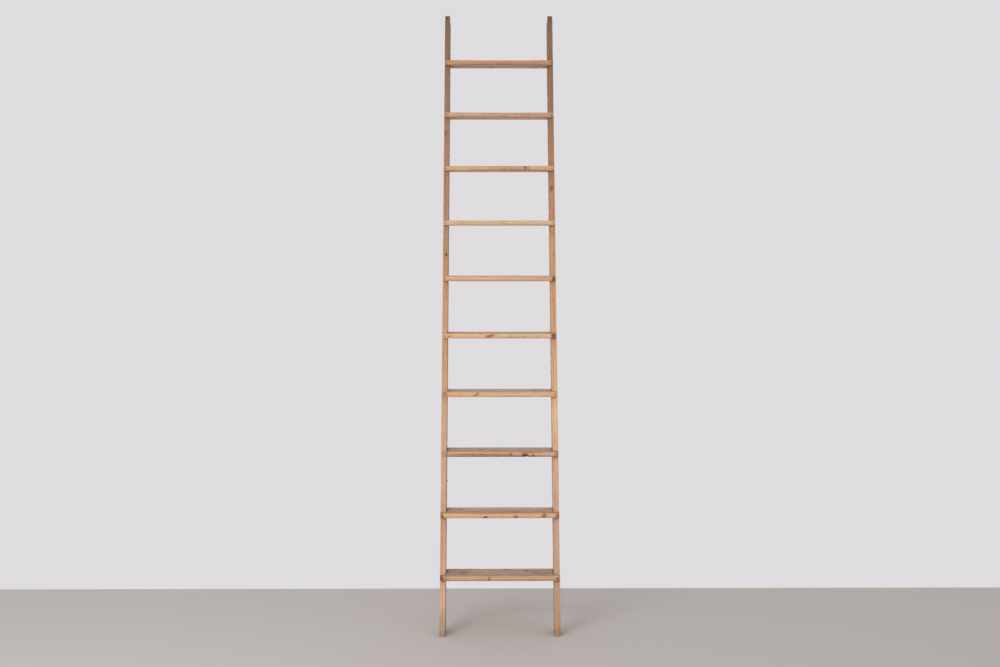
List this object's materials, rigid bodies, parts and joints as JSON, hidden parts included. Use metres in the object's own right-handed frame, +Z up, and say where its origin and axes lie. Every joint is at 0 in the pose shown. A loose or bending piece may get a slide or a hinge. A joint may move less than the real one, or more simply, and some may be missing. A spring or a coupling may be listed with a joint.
{
  "type": "ladder shelf",
  "caption": "Tall, narrow wooden ladder that leans on a wall, with flat treads housed in its stiles and notched over their fronts, used as shelving.",
  "frame": {"origin": "floor level, midway across the stiles and midway between the stiles' front feet and their back tops, with the ladder leaning as in use", "axes": "+Z up, +X across the ladder to the right as seen from the front, +Y back towards the wall"},
  "size_m": [0.553, 0.9304, 2.99],
  "materials": {
    "stile_wood": "old pine, worn and waxed, matte",
    "tread_wood": "old pine, sawn and worn, matte, greyer on top",
    "nail_iron": "dark, rusted"
  },
  "bodies": {
    "root": {"stile_left": "stile_wood", "stile_right": "stile_wood", "tread_01": "tread_wood", "tread_02": "tread_wood", "tread_03": "tread_wood", "tread_04": "tread_wood", "tread_05": "tread_wood", "tread_06": "tread_wood", "tread_07": "tread_wood", "tread_08": "tread_wood", "tread_09": "tread_wood", "tread_10": "tread_wood", "ear_nails_left": "nail_iron", "ear_nails_right": "nail_iron", "side_nails_left": "nail_iron", "side_nails_right": "nail_iron", "old_nail": "nail_iron"}
  },
  "joints": []
}
